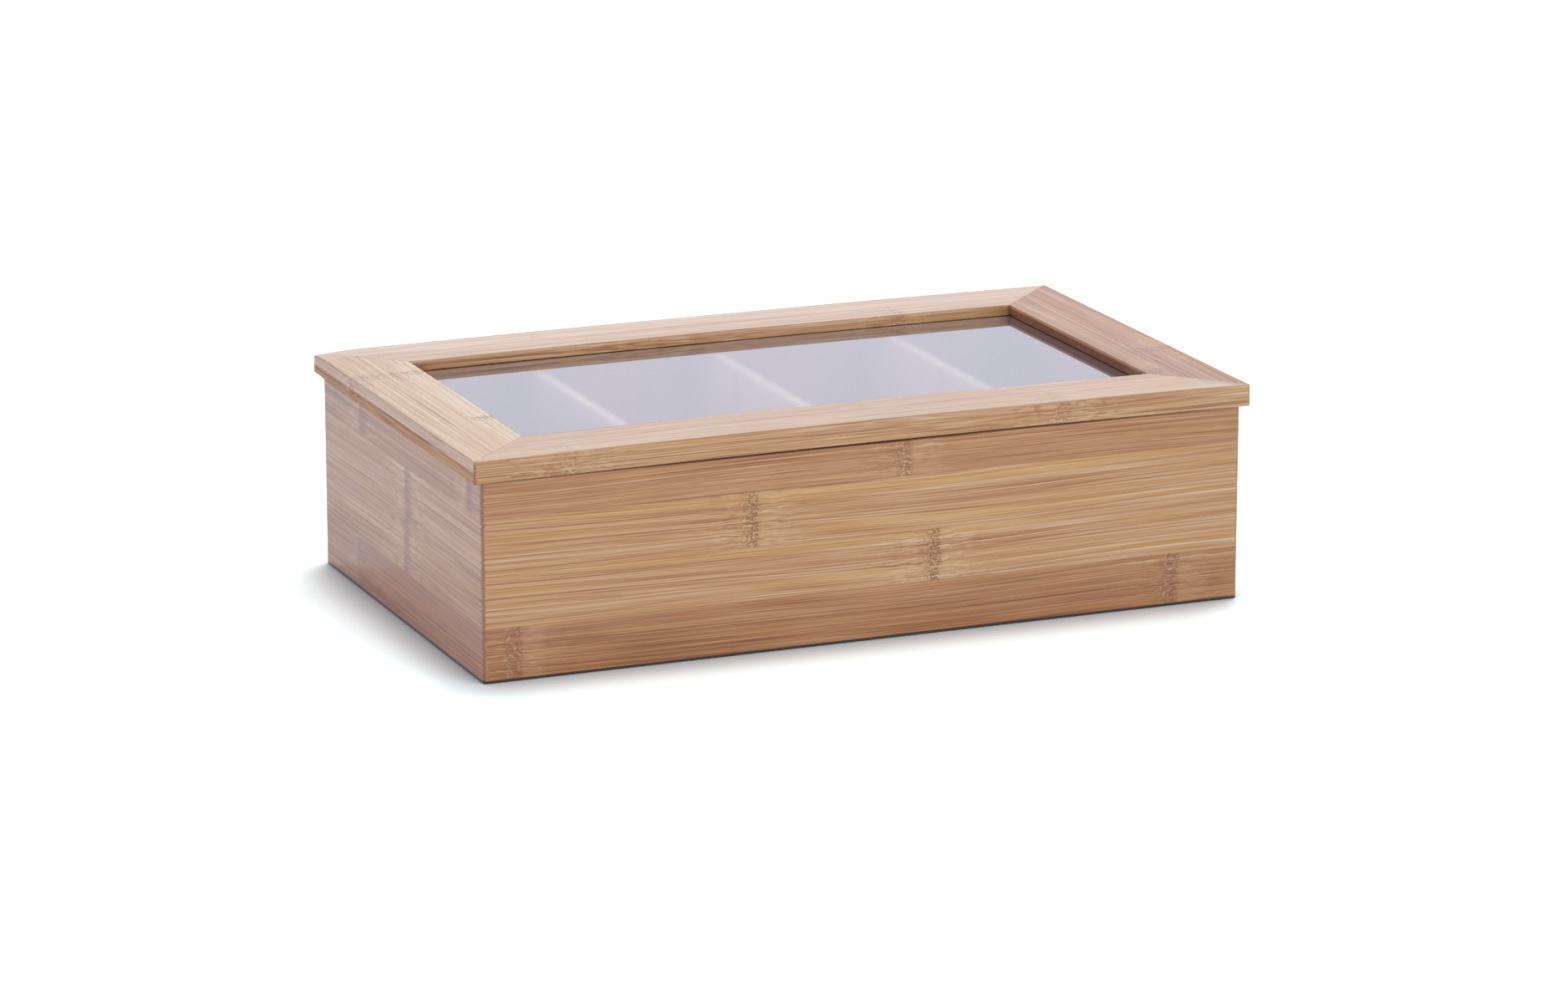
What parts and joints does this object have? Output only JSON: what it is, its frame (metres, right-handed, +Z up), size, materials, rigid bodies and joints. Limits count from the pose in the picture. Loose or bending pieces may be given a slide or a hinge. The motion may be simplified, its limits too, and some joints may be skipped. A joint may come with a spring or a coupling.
{
  "type": "tea bag organizer box",
  "caption": "Low rectangular bamboo box with a row of open-topped tea bag compartments under a hinged frame lid with a clear window.",
  "frame": {"origin": "centre of the box's footprint, on the surface that it stands on", "axes": "+X to the right along the front, +Y towards the hinged back, +Z up"},
  "size_m": [0.33, 0.196, 0.09],
  "materials": {
    "board_bamboo": "satin",
    "divider_bamboo": "satin",
    "rail_bamboo": "satin",
    "window": "clear polished",
    "hinge_metal": "satin plated",
    "screw_metal": "bright"
  },
  "bodies": {
    "box": {"front_board": "board_bamboo", "back_board": "board_bamboo", "left_board": "board_bamboo", "right_board": "board_bamboo", "floor_panel": "divider_bamboo", "divider_left": "divider_bamboo", "divider_middle": "divider_bamboo", "divider_right": "divider_bamboo", "hinge_left_box_leaf": "hinge_metal", "hinge_right_box_leaf": "hinge_metal", "hinge_left_pin": "hinge_metal", "hinge_right_pin": "hinge_metal", "hinge_left_box_screws": "screw_metal", "hinge_right_box_screws": "screw_metal"},
    "lid": {"lid_front_rail": "rail_bamboo", "lid_back_rail": "rail_bamboo", "lid_left_rail": "rail_bamboo", "lid_right_rail": "rail_bamboo", "window_pane": "window", "hinge_left_lid_leaf": "hinge_metal", "hinge_right_lid_leaf": "hinge_metal", "hinge_left_lid_screws": "screw_metal", "hinge_right_lid_screws": "screw_metal"}
  },
  "joints": [
    {"name": "lid_hinge", "type": "hinge", "parent": "box", "child": "lid", "pos_m": [0, 0.0961, 0.0805], "axis": [-1, 0, 0], "range_deg": [0, 110]}
  ]
}
